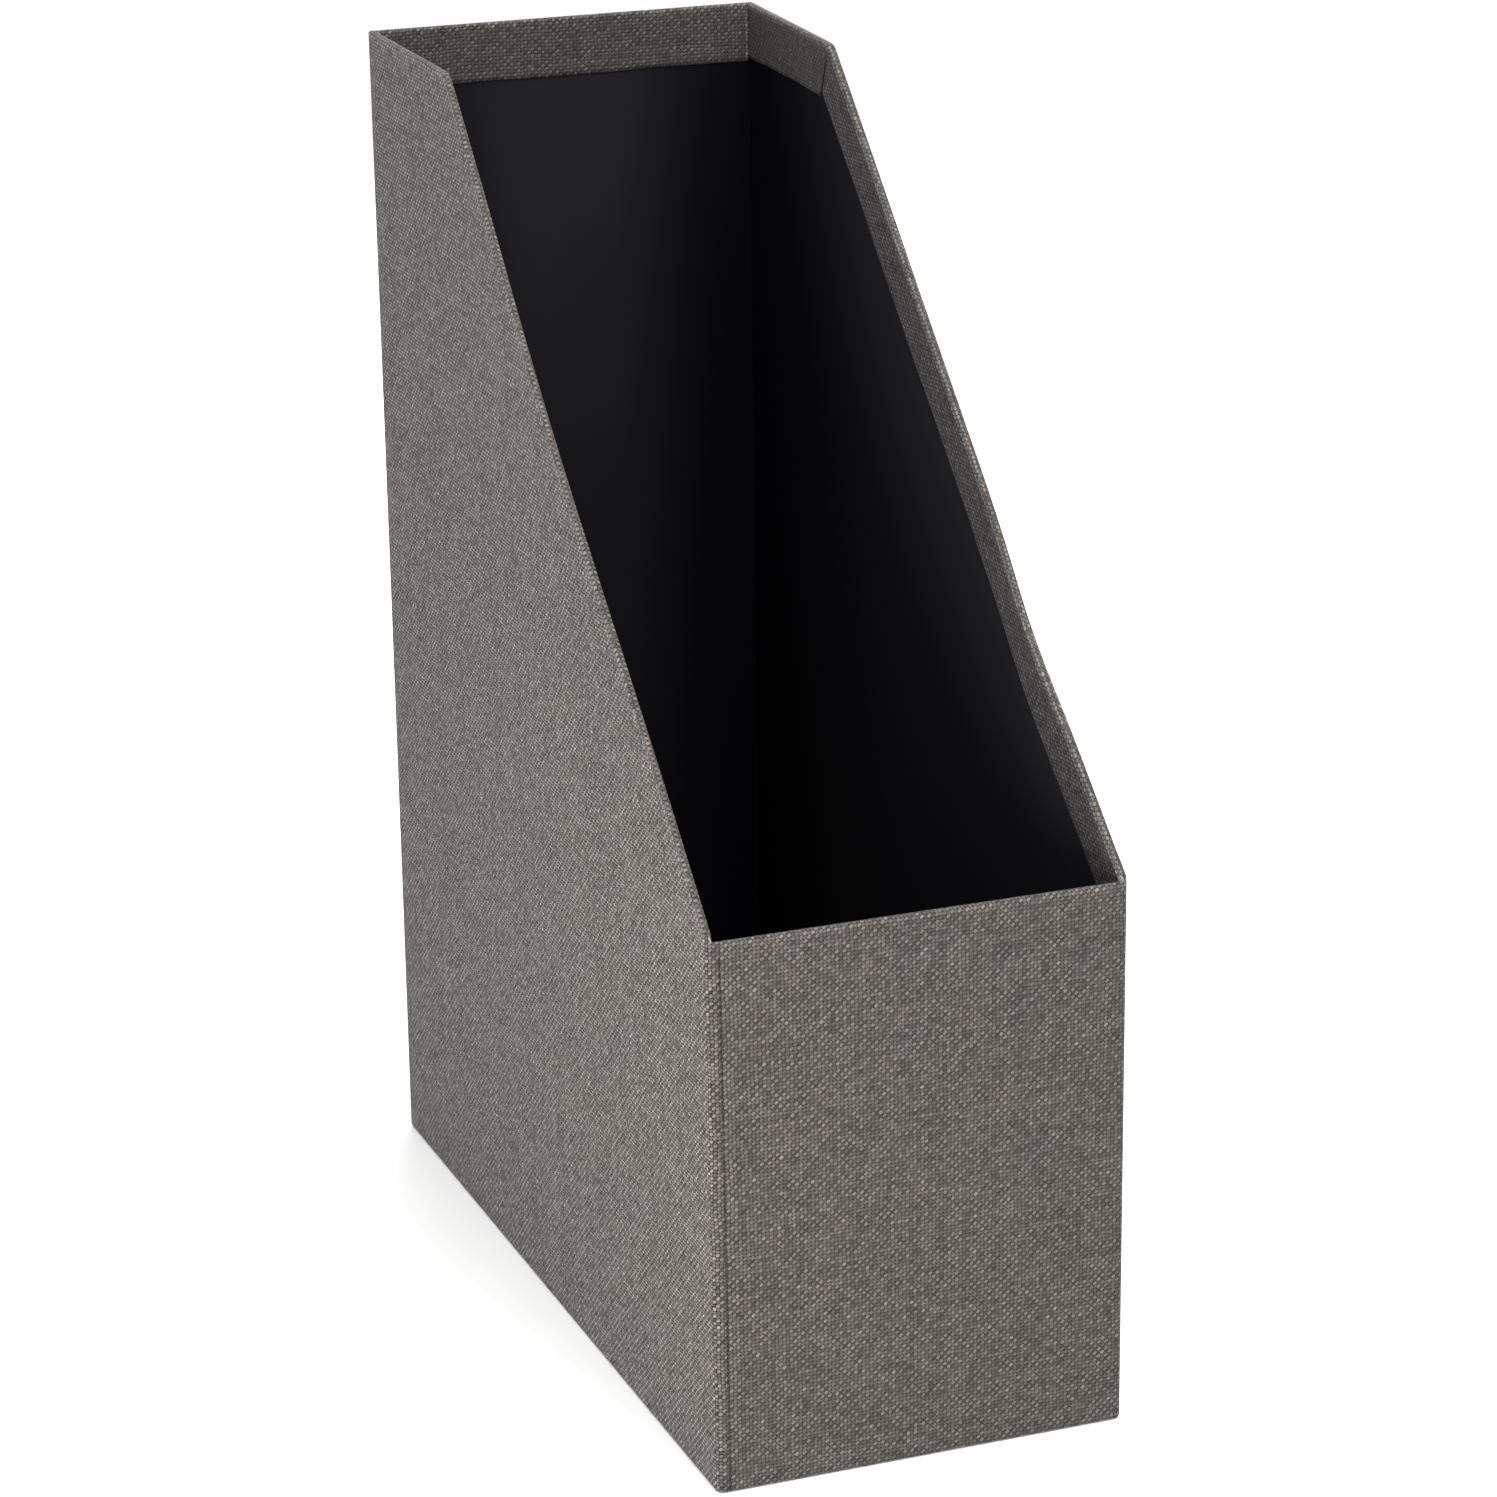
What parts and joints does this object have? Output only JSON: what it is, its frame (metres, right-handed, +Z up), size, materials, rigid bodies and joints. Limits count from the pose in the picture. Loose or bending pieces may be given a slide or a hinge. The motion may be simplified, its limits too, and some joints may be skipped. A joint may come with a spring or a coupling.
{
  "type": "magazine file holder",
  "caption": "Tall open-top magazine file with a low front and sloped side rims, in board covered with woven canvas and lined with black paper.",
  "frame": {"origin": "middle of the underside, on the surface that the file stands on", "axes": "+X to the right across the width, -Y towards the low front, +Y towards the tall back, +Z up"},
  "size_m": [0.11, 0.25, 0.32],
  "materials": {
    "grey_board": "raw grey binder's board",
    "black_paper": "smooth black lining paper, slight sheen",
    "stay_tape": "gummed kraft tape",
    "canvas": "grey-brown plain-weave canvas, heathered, matt",
    "underside_paper": "black paper, matt"
  },
  "bodies": {
    "root": {"left_side_board": "grey_board", "right_side_board": "grey_board", "front_board": "grey_board", "back_board": "grey_board", "base_board": "grey_board", "left_side_lining": "black_paper", "right_side_lining": "black_paper", "front_lining": "black_paper", "back_lining": "black_paper", "floor_lining": "black_paper", "front_left_corner_stay": "stay_tape", "front_right_corner_stay": "stay_tape", "back_left_corner_stay": "stay_tape", "back_right_corner_stay": "stay_tape", "left_base_stay": "stay_tape", "right_base_stay": "stay_tape", "front_base_stay": "stay_tape", "back_base_stay": "stay_tape", "cover_cloth": "canvas", "underside_paper": "underside_paper"}
  },
  "joints": []
}
